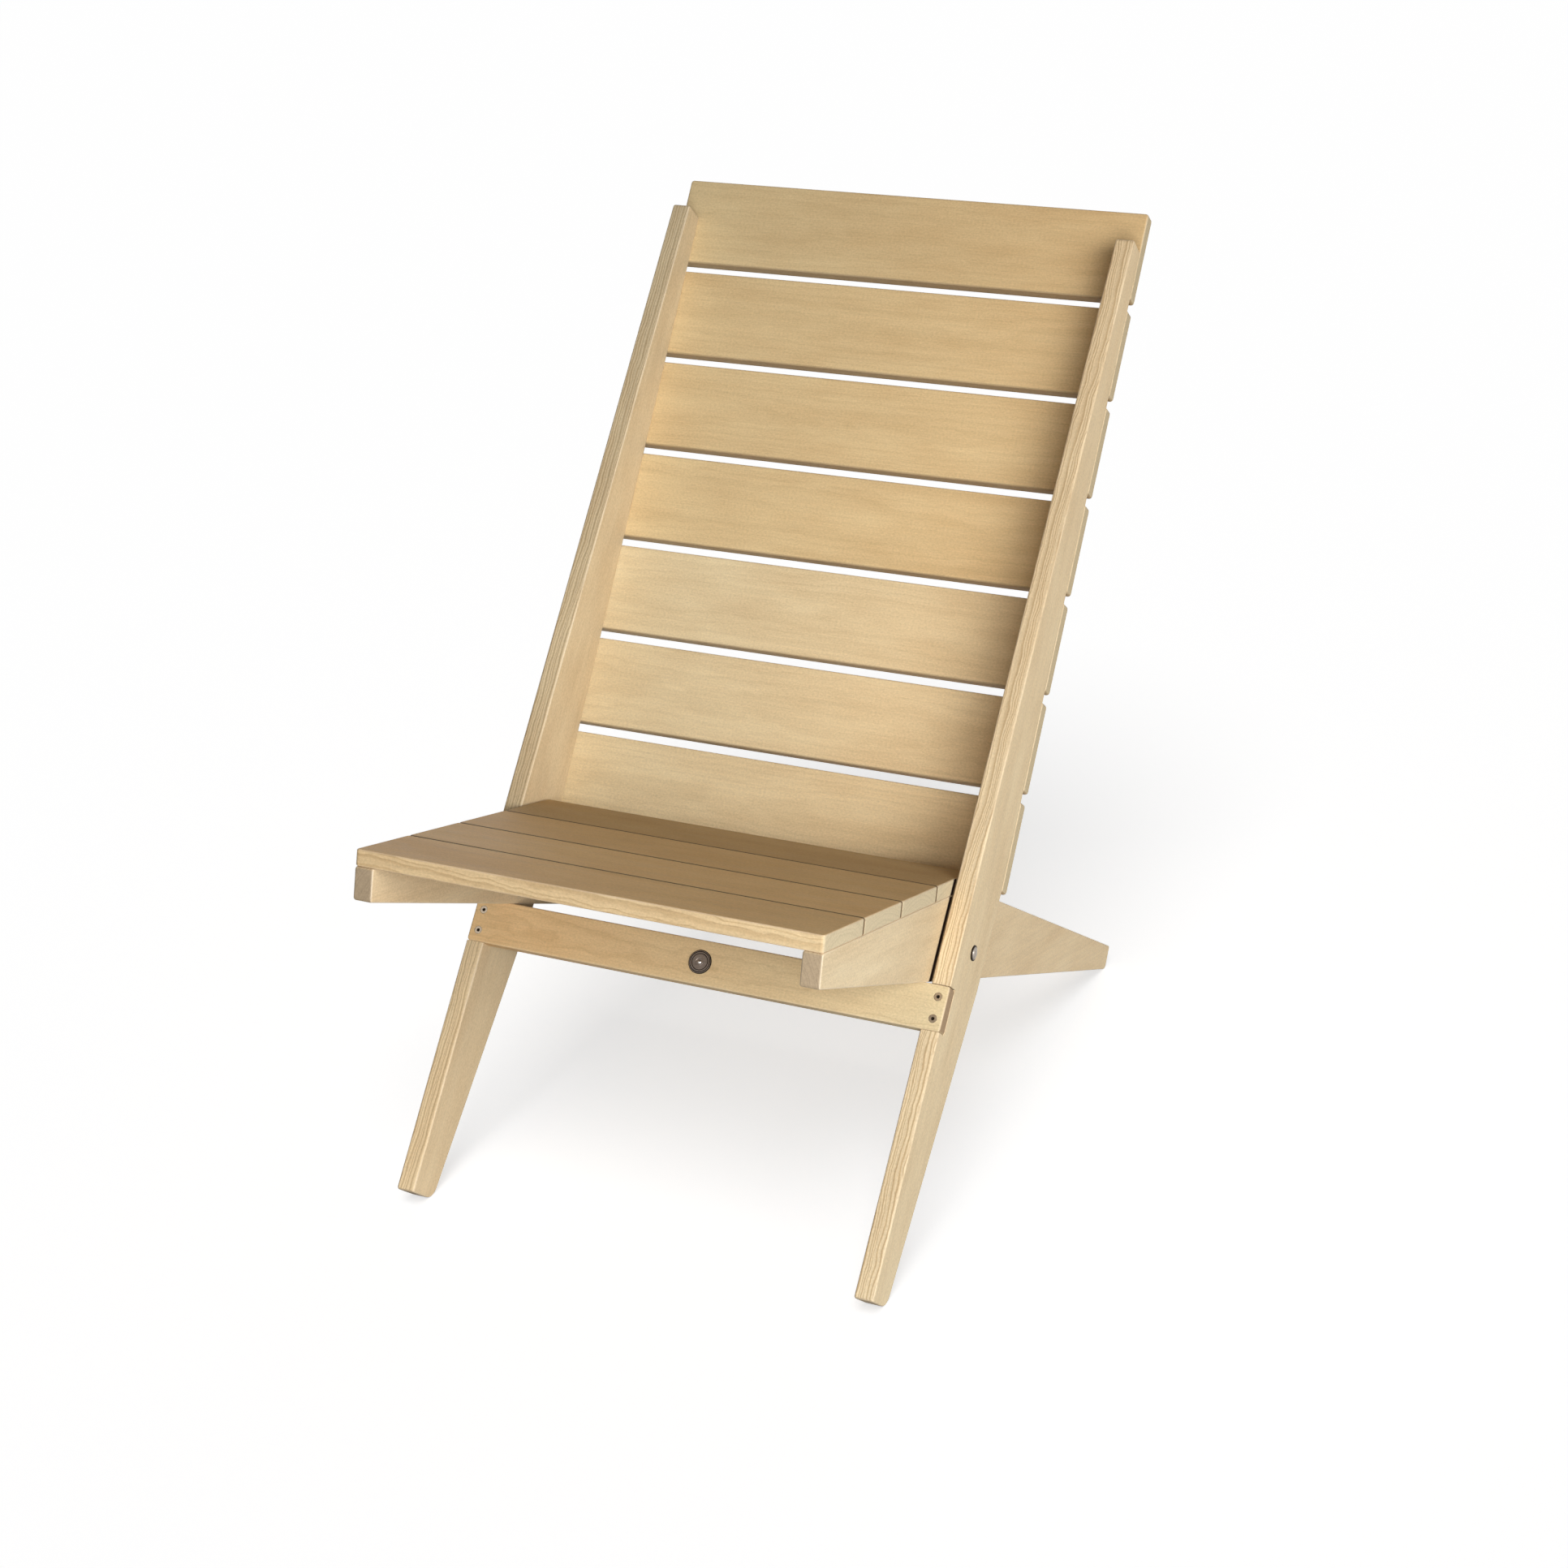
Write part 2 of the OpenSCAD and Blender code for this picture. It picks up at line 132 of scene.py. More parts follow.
def noise(tree, at, where, detail, rough, scale=1.0, output="Fac"):
    inputs = {"Vector": where, "Scale": scale, "Detail": detail, "Roughness": rough}
    return addNode(tree, "TexNoise", at, inputs).outputs[output]


def seeded(tree, point, seed):
    # Each board's texture starts from its own place
    return doVector(tree, "ADD", (-1450, -200), point, joined(tree, (-1600, -300), seed, seed, seed))


def newGroup(name, inputs, outputs):
    tree = bpy.data.node_groups.new(name, "ShaderNodeTree")
    for label, kind, value in inputs:
        socket = tree.interface.new_socket(name=label, in_out="INPUT", socket_type="NodeSocket" + kind)
        socket.default_value = value
    for label, kind in outputs:
        tree.interface.new_socket(name=label, in_out="OUTPUT", socket_type="NodeSocket" + kind)
    enter = tree.nodes.new("NodeGroupInput")
    leave = tree.nodes.new("NodeGroupOutput")
    enter.location = (-1800, 0)
    leave.location = (1800, 0)
    return tree, enter.outputs, leave


def putOut(tree, leave, **results):
    for label, value in results.items():
        tree.links.new(value, leave.inputs[label])
    return tree


# How squarely a normal has to face one way: through a board, along it, or out of any long side
sideLimits = {
    "broad": (0.60, 0.85),
    "end": (0.55, 0.85),
    "flat": (0.90, 0.99),
}


# Which face of a board a point is on, from the normal in the board's own axes
def makeFaceSides():
    tree, given, out = newGroup("faceSides", [("Facing", "Vector", (0, 0, 1))],
                                [("Broad", "Float"), ("End", "Float"), ("Eased", "Float")])
    parts = split(tree, (-1300, 0), doVector(tree, "ABSOLUTE", (-1500, 0), given["Facing"]))
    broad = between(tree, (-1000, 200), parts["Z"], *sideLimits["broad"])
    end = between(tree, (-1000, 0), parts["X"], *sideLimits["end"])
    square = doMath(tree, "MULTIPLY", (-1100, -200), parts["Z"], parts["Z"])
    others = doMath(tree, "SUBTRACT", (-1000, -300), 1.0, square, clamp=True)
    most = doMath(tree, "MAXIMUM", (-700, -200), parts["Z"], doMath(tree, "SQRT", (-900, -300), others))
    flat = between(tree, (-550, -200), most, *sideLimits["flat"])
    return putOut(tree, out, Broad=broad, End=end, Eased=oneMinus(tree, (-400, -200), flat))


# Growth rings: bends in each metre along and across a board, with the detail and roughness of
# their noise, and how dark one ring gets
ringForm = {
    "slow": ((5.0, 11.0, 11.0), 1.5, 0.45),
    "quick": ((34.0, 75.0, 75.0), 2.0, 0.5),
    "quickShare": 0.36,      # the quick bends' part of the wave
    "unevenScale": 0.45,     # changes of width for each ring
    "unevenTurns": 1.6,
    "startTone": 0.25,       # where one ring meets the next
    "tones": ((0.12, 0.0), (0.5, 0.14), (0.80, 0.85), (0.90, 1.0)),
}


# Rings cut through as solid wood: calm on the broad faces, streaks on the edges
def makeGrowthRings():
    tree, given, out = newGroup("growthRings", [
        ("Point", "Vector", (0, 0, 0)), ("Seed", "Float", 0.0), ("Ring", "Float", 0.0032),
        ("Pith", "Float", 0.07), ("Slope", "Float", 0.0), ("Wave", "Float", 0.004)], [("Late", "Float")])
    moved = seeded(tree, given["Point"], given["Seed"])
    quickWave = doMath(tree, "MULTIPLY", (-900, -600), given["Wave"], ringForm["quickShare"])
    bent = given["Point"]
    for y, (way, detail, rough), wave in ((-100, ringForm["slow"], given["Wave"]),
                                          (-400, ringForm["quick"], quickWave)):
        where = doVector(tree, "MULTIPLY", (-1300, y), moved, way)
        cloud = noise(tree, (-1100, y), where, detail, rough, output="Color")
        shift = doVector(tree, "SUBTRACT", (-900, y), cloud, (0.5, 0.5, 0.5))
        bent = doVector(tree, "ADD", (-500, y), bent, scaled(tree, (-700, y), shift, wave))
    parts = split(tree, (-350, 0), bent)
    climb = doMath(tree, "MULTIPLY_ADD", (-200, -150), parts["X"], given["Slope"], parts["Z"])
    deep = doMath(tree, "ADD", (-50, -150), climb, given["Pith"])
    radius = doVector(tree, "LENGTH", (200, 0), joined(tree, (80, 0), parts["Y"], deep))
    count = doMath(tree, "DIVIDE", (350, 0), radius, given["Ring"])
    place = doMath(tree, "ADD", (400, -250), count, given["Seed"])
    uneven = addNode(tree, "TexNoise", (500, -200), {
        "W": place, "Scale": ringForm["unevenScale"], "Detail": 1.0}, noise_dimensions="1D").outputs["Fac"]
    turns = doMath(tree, "MULTIPLY_ADD", (650, -100), uneven, ringForm["unevenTurns"], count)
    ramp = addNode(tree, "ValToRGB", (950, -100), {0: doMath(tree, "FRACT", (800, -100), turns)})
    ramp.color_ramp.interpolation = "EASE"
    stops = ramp.color_ramp.elements
    for stop in stops:
        stop.color = (ringForm["startTone"],) * 3 + (1,)
    for place, tone in ringForm["tones"]:
        stops.new(place).color = (tone,) * 3 + (1,)
    return putOut(tree, out, Late=ramp.outputs["Color"])


# Fibres: repeats in each metre along and across a board, and the noise's detail and roughness
fibreForm = {
    "Streak": ((6, 420, 420), 3.0, 0.6),
    "Fine": ((26, 1150, 1150), 2.0, 0.6),
    "Tone": ((5, 22, 22), 2.0, 0.5),
    "Mottle": ((14, 45, 45), 2.0, 0.55),
    "Fleck": ((400, 550, 550), 2.0, 0.7),
}
poreForm = {
    "way": (95, 1500, 1500),
    "size": (0.08, 0.26),
}


# Fibres, pores and slow changes of tone along a board
def makeWoodFibre():
    tree, given, out = newGroup("woodFibre", [("Point", "Vector", (0, 0, 0)), ("Seed", "Float", 0.0)],
                                [(label, "Float") for label in list(fibreForm) + ["Pore"]])
    moved = seeded(tree, given["Point"], given["Seed"])
    found = {}
    for number, (label, (way, detail, rough)) in enumerate(fibreForm.items()):
        y = 500 - 250 * number
        where = doVector(tree, "MULTIPLY", (-1200, y), moved, way)
        found[label] = noise(tree, (-900, y), where, detail, rough)
    where = doVector(tree, "MULTIPLY", (-1200, -800), moved, poreForm["way"])
    apart = addNode(tree, "TexVoronoi", (-900, -800), {"Vector": where, "Scale": 1.0}, feature="F1")
    solid = between(tree, (-700, -800), apart.outputs["Distance"], *poreForm["size"])
    found["Pore"] = oneMinus(tree, (-500, -800), solid)
    return putOut(tree, out, **found)


# How strongly rings, fibres and pores show in an oiled board, and what its ends, its rubbed edges
# with their painted highlight, and its joints with their dust and painted shade get
pineLook = {
    "streak": 0.34,
    "streakOnFace": -0.16,
    "tones": (("Fine", 0.16), ("Tone", 0.26), ("Mottle", 0.17), ("Fleck", 0.48)),
    "pore": -0.055,
    "coolGreen": 0.08,
    "coolBlue": 0.16,
    "endFigure": 0.3,
    "endBase": 0.76,
    "endFleck": 0.5,
    "endRings": -0.10,
    "wearAndHighlightMottle": 0.8,
    "wearAndHighlightPale": 0.35,
    "wearAndHighlightColour": (1, 0.95, 0.86, 1),
    "rough": 0.52,
    "roughLate": -0.07,
    "roughStreak": 0.14,
    "roughEnd": 0.16,
    "heights": {"Late": 0.45, "Streak": 0.8, "Pore": -0.6, "Fleck": 1.2},
    "dustAndShadeDepth": (0.0021, 0.0007),        # dust and painted shade begin and are full, in from the edge
    "dustAndShadeColour": (0.10, 0.062, 0.032, 1),
    "shadeColour": (0.020, 0.009, 0.006, 1),
}


# The whole look of a sanded, oiled softwood board
def makeOiledPine(faceSides, growthRings, woodFibre):
    tree, given, out = newGroup("oiledPine", [
        ("Point", "Vector", (0, 0, 0)), ("Facing", "Vector", (0, 0, 1)), ("Seed", "Float", 0.0),
        ("Pale", "Color", (0.7, 0.55, 0.33, 1)), ("Edge Pale", "Color", (0.7, 0.55, 0.33, 1)),
        ("Dark", "Color", (0.45, 0.3, 0.15, 1)), ("End Tone", "Color", (0.4, 0.3, 0.2, 1)),
        ("Face Figure", "Float", 0.12), ("Edge Figure", "Float", 0.4), ("Ring", "Float", 0.0032),
        ("Pith", "Float", 0.07), ("Slope", "Float", 0.0), ("Wave", "Float", 0.004),
        ("Half Width", "Float", 0.045), ("Low Dust And Shade", "Float", 0.0), ("High Dust And Shade", "Float", 0.0),
        ("Wear", "Float", 0.3), ("Drift", "Float", 0.0), ("Slant", "Float", 0.0), ("Shade", "Float", 0.0)],
        [("Color", "Color"), ("Roughness", "Float"), ("Height", "Float")])
    sides = useGroup(tree, faceSides, (-1400, 400), {"Facing": given["Facing"]})
    late = useGroup(tree, growthRings, (-1400, 0), {
        label: given[label] for label in ("Point", "Seed", "Ring", "Pith", "Slope", "Wave")})["Late"]
    fibre = useGroup(tree, woodFibre, (-1400, -400), {"Point": given["Point"], "Seed": given["Seed"]})
    place = split(tree, (-1400, -700), given["Point"])

    # How much of the ring figure shows on this side
    edgeShare = mixValue(tree, (-1100, 300), sides["Broad"], given["Edge Figure"], given["Face Figure"])
    share = mixValue(tree, (-950, 300), sides["End"], edgeShare, pineLook["endFigure"])
    figure = doMath(tree, "MULTIPLY", (-800, 200), late, share)
    pale = mixColour(tree, (-800, 400), sides["Broad"], given["Edge Pale"], given["Pale"])
    base = mixColour(tree, (-600, 200), figure, pale, given["Dark"])

    # Streaks, fibres and pores, then the slow change of tone
    strong = doMath(tree, "MULTIPLY_ADD", (-1100, 0), sides["Broad"],
                    pineLook["streakOnFace"], pineLook["streak"])
    streak = centred(tree, (-1100, -100), fibre["Streak"])
    lightness = doMath(tree, "MULTIPLY_ADD", (-950, 0), streak, strong, 1.0)
    for number, (label, strength) in enumerate(pineLook["tones"]):
        x = -800 + 150 * number
        lightness = doMath(tree, "MULTIPLY_ADD", (x, -100), centred(tree, (x - 150, -250), fibre[label]),
                           strength, lightness)
    pore = doMath(tree, "MULTIPLY", (-550, -450), fibre["Pore"], oneMinus(tree, (-700, -450), sides["End"]))
    lightness = doMath(tree, "MULTIPLY_ADD", (-200, -100), pore, pineLook["pore"], lightness)
    # Lightness that climbs along the board: painted light and shade
    lightness = doMath(tree, "MULTIPLY_ADD", (-180, -200), place["X"], given["Slant"], lightness)

    # Paler patches are a little cooler, and the drift along a board paints a warmer, browner shade towards
    # one end
    both = doMath(tree, "ADD", (-450, -600), fibre["Tone"], fibre["Mottle"])
    cool = doMath(tree, "MULTIPLY_ADD", (-300, -600), place["X"], given["Drift"],
                  doMath(tree, "SUBTRACT", (-450, -700), both, 1.0))
    green = doMath(tree, "MULTIPLY", (-50, -250), lightness,
                   doMath(tree, "MULTIPLY_ADD", (-150, -350), cool, pineLook["coolGreen"], 1.0))
    blue = doMath(tree, "MULTIPLY", (-50, -450), lightness,
                  doMath(tree, "MULTIPLY_ADD", (-150, -550), cool, pineLook["coolBlue"], 1.0))
    shade = addNode(tree, "CombineColor", (0, -100), {0: lightness, 1: green, 2: blue}).outputs[0]
    body = mixColour(tree, (100, 100), 1.0, base, shade, "MULTIPLY")

    # End grain: dull, darker and dotted
    dots = doMath(tree, "MULTIPLY_ADD", (50, -400), fibre["Fleck"], pineLook["endFleck"], pineLook["endBase"])
    ringed = doMath(tree, "MULTIPLY_ADD", (150, -400), late, pineLook["endRings"], dots)
    endShade = grey(tree, (250, -300), ringed)
    endWood = mixColour(tree, (400, -200), 1.0, given["End Tone"], endShade, "MULTIPLY")
    whole = mixColour(tree, (600, 0), sides["End"], body, endWood)

    # Eased edges are rubbed a little paler, and the same paler colour is a painted highlight along them
    wearAndHighlightMask = doMath(tree, "MULTIPLY", (650, 300), sides["Eased"], doMath(
        tree, "MULTIPLY_ADD", (500, 300), fibre["Mottle"], pineLook["wearAndHighlightMottle"], given["Wear"]), clamp=True)
    wearAndHighlightTint = mixColour(tree, (700, 500), pineLook["wearAndHighlightPale"], given["Pale"], pineLook["wearAndHighlightColour"])
    wornAndHighlighted = mixColour(tree, (850, 100), wearAndHighlightMask, whole, wearAndHighlightTint)

    rough = doMath(tree, "MULTIPLY_ADD", (850, -300), late, pineLook["roughLate"], pineLook["rough"])
    rough = doMath(tree, "MULTIPLY_ADD", (1000, -300), fibre["Streak"], pineLook["roughStreak"], rough)
    rough = doMath(tree, "MULTIPLY_ADD", (1150, -300), sides["End"], pineLook["roughEnd"], rough, clamp=True)
    endFleck = doMath(tree, "MULTIPLY", (700, -750), fibre["Fleck"], sides["End"])
    height = fibre["Fine"]
    for number, (label, source) in enumerate((("Late", late), ("Streak", fibre["Streak"]),
                                              ("Pore", pore), ("Fleck", endFleck))):
        at = (850 + 150 * number, -600)
        height = doMath(tree, "MULTIPLY_ADD", at, source, pineLook["heights"][label], height)

    # Dust in the joints between boards, painted shade on the back slats' lower edges, and the painted shadow
    # line of the Shade mask
    start, stop = (doMath(tree, "SUBTRACT", (650, 700 + 100 * number), given["Half Width"], depth)
                   for number, depth in enumerate(pineLook["dustAndShadeDepth"]))
    high = doMath(tree, "MULTIPLY", (950, 800), between(tree, (800, 800), place["Y"], start, stop),
                  given["High Dust And Shade"])
    low = doMath(tree, "MULTIPLY", (950, 650), between(tree, (800, 650), doMath(
        tree, "MULTIPLY", (650, 600), place["Y"], -1.0), start, stop), given["Low Dust And Shade"])
    dustAndShadeMask = doMath(tree, "ADD", (1100, 700), high, low, clamp=True)
    closed = mixColour(tree, (1250, 300), dustAndShadeMask, wornAndHighlighted, pineLook["dustAndShadeColour"])
    closed = mixColour(tree, (1450, 300), given["Shade"], closed, pineLook["shadeColour"])
    return putOut(tree, out, Color=closed, Roughness=rough, Height=height)


# Turned metal: detail, roughness and scale of each noise, and how strongly marks, tarnish
# and grime show
metalLook = {
    "turnScale": 5200.0,
    "turnAngle": 1.5,
    "turnNoise": (2.0, 0.6),
    "scratchWay": (900, 5200, 2600),
    "scratchNoise": (3.0, 0.7),
    "patchNoise": (4.0, 0.62, 520.0),
    "stain": (0.42, 0.66),
    "scratch": 0.35,
    "cleanFade": 0.0003,
    "rough": 0.24,
    "roughTarnish": 0.3,
    "roughScratch": 0.16,
    "roughGrimeAndShade": 0.25,
}


# Steel and pewter: turned marks round an axis, scratches and tarnish
def makeTurnedMetal():
    tree, given, out = newGroup("turnedMetal", [
        ("Point", "Vector", (0, 0, 0)), ("Bright", "Color", (0.6, 0.6, 0.6, 1)),
        ("Dull", "Color", (0.3, 0.3, 0.3, 1)), ("Tarnish", "Float", 0.5), ("Marks", "Float", 0.5),
        ("Grime", "Color", (0.03, 0.022, 0.016, 1)), ("Deep", "Float", -1.0), ("Rim", "Float", 1.0),
        ("Fade", "Float", 0.0003), ("Clean", "Float", -1.0), ("Dome", "Float", 0.0)],
        [("Color", "Color"), ("Roughness", "Float"), ("Height", "Float")])
    parts = split(tree, (-1500, 0), given["Point"])
    radius = doVector(tree, "LENGTH", (-1200, 200), joined(tree, (-1350, 200), parts["X"], parts["Y"]))
    angle = doMath(tree, "ARCTAN2", (-1350, 0), parts["Y"], parts["X"])
    ringWay = joined(
        tree, (-1000, 100), doMath(tree, "MULTIPLY", (-1150, 100), radius, metalLook["turnScale"]),
        doMath(tree, "MULTIPLY", (-1150, -50), angle, metalLook["turnAngle"]),
        doMath(tree, "MULTIPLY", (-1150, -200), parts["Z"], metalLook["turnScale"]))
    turned = noise(tree, (-800, 100), ringWay, *metalLook["turnNoise"])
    scratchWay = doVector(tree, "MULTIPLY", (-1000, -150), given["Point"], metalLook["scratchWay"])
    scratch = noise(tree, (-800, -100), scratchWay, *metalLook["scratchNoise"])
    patch = noise(tree, (-800, -350), given["Point"], *metalLook["patchNoise"])
    stain = between(tree, (-600, -350), patch, *metalLook["stain"])
    tarnish = doMath(tree, "MULTIPLY", (-400, -350), stain, given["Tarnish"], clamp=True)
    light = doMath(tree, "MULTIPLY_ADD", (-200, 50), centred(tree, (-400, 50), turned), given["Marks"], 1.0)
    scored = centred(tree, (-200, -100), scratch)
    light = doMath(tree, "MULTIPLY_ADD", (-50, 50), scored, metalLook["scratch"], light)
    base = mixColour(tree, (100, 300), tarnish, given["Bright"], given["Dull"])
    whole = mixColour(tree, (300, 200), 1.0, base, grey(tree, (100, 50), light), "MULTIPLY")

    # Grime and painted shade sit below a depth and outside a radius, and stay off a rubbed middle
    def fadeFrom(y, value, start, fade):
        return between(tree, (100, y), value, start, doMath(tree, "ADD", (-100, y), start, fade))

    sunk = oneMinus(tree, (300, 700), fadeFrom(700, parts["Z"], given["Deep"], given["Fade"]))
    edge = fadeFrom(950, radius, given["Rim"], given["Fade"])
    outside = fadeFrom(1200, radius, given["Clean"], metalLook["cleanFade"])
    grimeAndShade = doMath(tree, "MAXIMUM", (500, 800), doMath(tree, "MULTIPLY", (350, 900), sunk, outside), edge)
    whole = mixColour(tree, (700, 300), grimeAndShade, whole, given["Grime"])
    rough = doMath(tree, "MULTIPLY_ADD", (300, -200), tarnish, metalLook["roughTarnish"], metalLook["rough"])
    rough = doMath(tree, "MULTIPLY_ADD", (500, -200), scratch, metalLook["roughScratch"], rough)
    rough = doMath(tree, "MULTIPLY_ADD", (700, -200), grimeAndShade, metalLook["roughGrimeAndShade"], rough, clamp=True)

    # A domed head bows by the square of the radius
    height = doMath(tree, "MULTIPLY_ADD", (300, -400), turned, given["Marks"], scratch)
    bowed = doMath(tree, "POWER", (300, -600), doMath(tree, "DIVIDE", (150, -600), radius, given["Rim"]), 2.0)
    dome = doMath(tree, "MULTIPLY", (500, -600), bowed, given["Dome"])
    height = doMath(tree, "SUBTRACT", (700, -450), height, dome)
    return putOut(tree, out, Color=whole, Roughness=rough, Height=height)


# Where the painted shadow line lies: behind the front edges of the back rails, and in from their outer faces
crossing = {
    "enter": (0.0018, 0.0028),
    "leave": (0.0080, 0.0100),
    "side": (0.0232, 0.0228),
}


# A painted shadow line on the seat frame just inside the front edges of the back rails, where they shade it
def makeCrossingShade():
    tree, given, out = newGroup("crossingShade", [("Point", "Vector", (0, 0, 0))], [("Mask", "Float")])
    rearward = axes(chair["backLean"])[0]
    along = doVector(tree, "DOT_PRODUCT", (-1400, 0), given["Point"], rearward)
    depth = doMath(tree, "SUBTRACT", (-1200, 0), along, chair["pivot"].dot(rearward) + chair["railFront"])
    enter = between(tree, (-900, 100), depth, *crossing["enter"])
    leave = oneMinus(tree, (-700, -100), between(tree, (-900, -100), depth, *crossing["leave"]))
    outward = doMath(tree, "ABSOLUTE", (-1200, -400), split(tree, (-1400, -400), given["Point"])["X"])
    side = between(tree, (-900, -400), outward, *(chair["outside"] - inset for inset in crossing["side"]))
    band = doMath(tree, "MULTIPLY", (-500, 0), enter, leave)
    return putOut(tree, out, Mask=doMath(tree, "MULTIPLY", (-300, -100), band, side))


faceSides = makeFaceSides()
growthRings = makeGrowthRings()
woodFibre = makeWoodFibre()
oiledPine = makeOiledPine(faceSides, growthRings, woodFibre)
turnedMetal = makeTurnedMetal()
crossingShade = makeCrossingShade()
print("built node groups")


def startMaterial(name):
    material = bpy.data.materials.new(name)
    material.use_nodes = True
    tree = material.node_tree
    tree.nodes.clear()
    out = addNode(tree, "OutputMaterial", (600, 0))
    shader = addNode(tree, "BsdfPrincipled", (250, 0))
    tree.links.new(shader.outputs[0], out.inputs["Surface"])
    return material, tree, shader


def materialName(kind, node):
    return kind + "".join(word.capitalize() for word in node.split("_"))


def ownAxes(tree, at, output, ways, origin=(0, 0, 0)):
    # Object position or normal, turned into a piece's own axes
    source = addNode(tree, "TexCoord", (at[0] - 250, at[1])).outputs[output]
    turn = Matrix(ways).transposed().to_euler()
    return addNode(tree, "Mapping", at, {"Vector": source, "Location": origin, "Rotation": turn},
                   vector_type="TEXTURE").outputs[0]


def dress(node, material, tree, shader, made, bump):
    # Ends a material with its colour, roughness and bump, and puts it on the piece
    lifted = addNode(tree, "Bump", (0, -400), {
        "Height": made["Height"], "Distance": bump["depth"], "Strength": bump["strength"]}).outputs[0]
    setInputs(tree, shader, {"Base Color": made["Color"], "Roughness": made["Roughness"], "Normal": lifted})
    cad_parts[node].material_slots[0].material = material


# Woods: linear colours as written on a face in full light, ring figure, and the rubbing of edges with its
# painted highlight
woods = {
    "rail": {
        "Pale": (0.70, 0.555, 0.350, 1), "Edge Pale": (0.74, 0.588, 0.375, 1), "Dark": (0.42, 0.28, 0.14, 1),
        "End Tone": (0.56, 0.44, 0.30, 1), "Face Figure": 0.10, "Edge Figure": 0.82, "Wear": -0.22},
    "leftRail": {
        "Pale": (0.635, 0.494, 0.307, 1), "Edge Pale": (0.80, 0.628, 0.39, 1), "Dark": (0.42, 0.28, 0.14, 1),
        "End Tone": (0.56, 0.44, 0.30, 1), "Face Figure": 0.10, "Edge Figure": 0.70, "Wear": 0.0},
    "seatRail": {
        "Pale": (0.69, 0.545, 0.345, 1), "Dark": (0.42, 0.28, 0.14, 1), "End Tone": (0.40, 0.305, 0.20, 1),
        "Face Figure": 0.10, "Edge Figure": 0.55, "Wear": 0.1},
    "slat": {
        "Pale": (0.695, 0.505, 0.267, 1), "Dark": (0.38, 0.24, 0.105, 1), "End Tone": (0.58, 0.47, 0.30, 1),
        "Face Figure": 0.10, "Edge Figure": 0.45, "Wear": -0.15},
    "lowSlat": {
        "Pale": (0.69, 0.53, 0.312, 1), "Dark": (0.38, 0.24, 0.105, 1), "End Tone": (0.58, 0.47, 0.30, 1),
        "Face Figure": 0.10, "Edge Figure": 0.45, "Wear": -0.15},
    "stretcher": {
        "Pale": (0.70, 0.52, 0.29, 1), "Dark": (0.40, 0.245, 0.11, 1), "End Tone": (0.36, 0.25, 0.15, 1),
        "Face Figure": 0.20, "Edge Figure": 0.40, "Wear": -0.1},
    "seat": {
        "Pale": (0.615, 0.405, 0.192, 1), "Edge Pale": (0.64, 0.475, 0.27, 1), "Dark": (0.33, 0.195, 0.08, 1),
        "End Tone": (0.60, 0.50, 0.33, 1), "Face Figure": 0.10, "Edge Figure": 0.42, "Wear": 0.0},
    "beech": {
        "Pale": (0.62, 0.44, 0.27, 1), "Edge Pale": (0.7, 0.55, 0.33, 1), "Dark": (0.42, 0.27, 0.15, 1),
        "End Tone": (0.45, 0.31, 0.19, 1), "Face Figure": 0.15, "Edge Figure": 0.15, "Wear": 0.3},
}
woodSurface = {"gloss": 0.16, "depth": 0.00022, "strength": 0.55}
dustAndShade = {"leftRail": 0.4, "backSlat": 0.42, "seatSlat": 1.0}     # how dark the edges get: dust in the seat slats' joints, painted shade on the back slats' lower edges, a darker rear edge on the left back rail

# Each board's own cut from the log, then how its hue and its lightness change in a metre along it
# (painted light and shade, partly the wood's own change), and the tone of the whole board (painted shade on
# the rear seat slats)
cutInputs = ("Seed", "Ring", "Pith", "Slope", "Wave", "Drift", "Slant")
cuts = {
    "back_rail_left": (1.7, 0.0026, 0.085, 0.010, 0.011, 0.4, -0.20, 1.00),
    "back_rail_right": (4.3, 0.0025, 0.060, -0.014, 0.013, -0.5, 0.10, 0.98),
    "seat_rail_left": (7.9, 0.0034, 0.070, 0.006, 0.008, 0.6, 0.0, 0.99),
    "seat_rail_right": (11.2, 0.0034, 0.090, 0.010, 0.008, -0.4, 0.32, 1.01),
    "back_slat_1": (15.1, 0.0036, 0.110, 0.008, 0.010, -2.6, 0.0, 0.95),
    "back_slat_2": (18.4, 0.0030, 0.075, -0.006, 0.008, -1.9, 0.0, 1.02),
    "back_slat_3": (21.6, 0.0024, 0.060, 0.004, 0.006, -1.8, 0.0, 1.04),
    "back_slat_4": (25.8, 0.0032, 0.095, 0.007, 0.009, -2.6, 0.0, 1.05),
    "back_slat_5": (29.3, 0.0034, 0.080, -0.008, 0.008, -3.2, 0.0, 1.08),
    "back_slat_6": (33.7, 0.0036, 0.105, 0.005, 0.009, -3.2, 0.0, 1.11),
    "back_slat_7": (37.5, 0.0028, 0.070, -0.004, 0.008, -3.0, 0.0, 1.14),
    "seat_slat_1": (41.9, 0.0048, 0.050, 0.030, 0.020, 0.8, 0.0, 1.05),
    "seat_slat_2": (46.2, 0.0034, 0.085, 0.006, 0.009, -0.6, 0.0, 1.04),
    # the rear seat slats are darker: painted shade under the back
    "seat_slat_3": (50.8, 0.0032, 0.075, -0.005, 0.008, 0.5, 0.0, 0.95),
    "seat_slat_4": (54.4, 0.0034, 0.095, 0.008, 0.009, -0.5, 0.0, 0.72),
    "front_stretcher": (58.6, 0.0028, 0.060, 0.010, 0.008, 4.5, -0.40, 1.06),
    "seat_slat_dowels": (63.1, 0.0016, 0.050, 0.0, 0.002, 0.0, 0.0, 1.0),
}


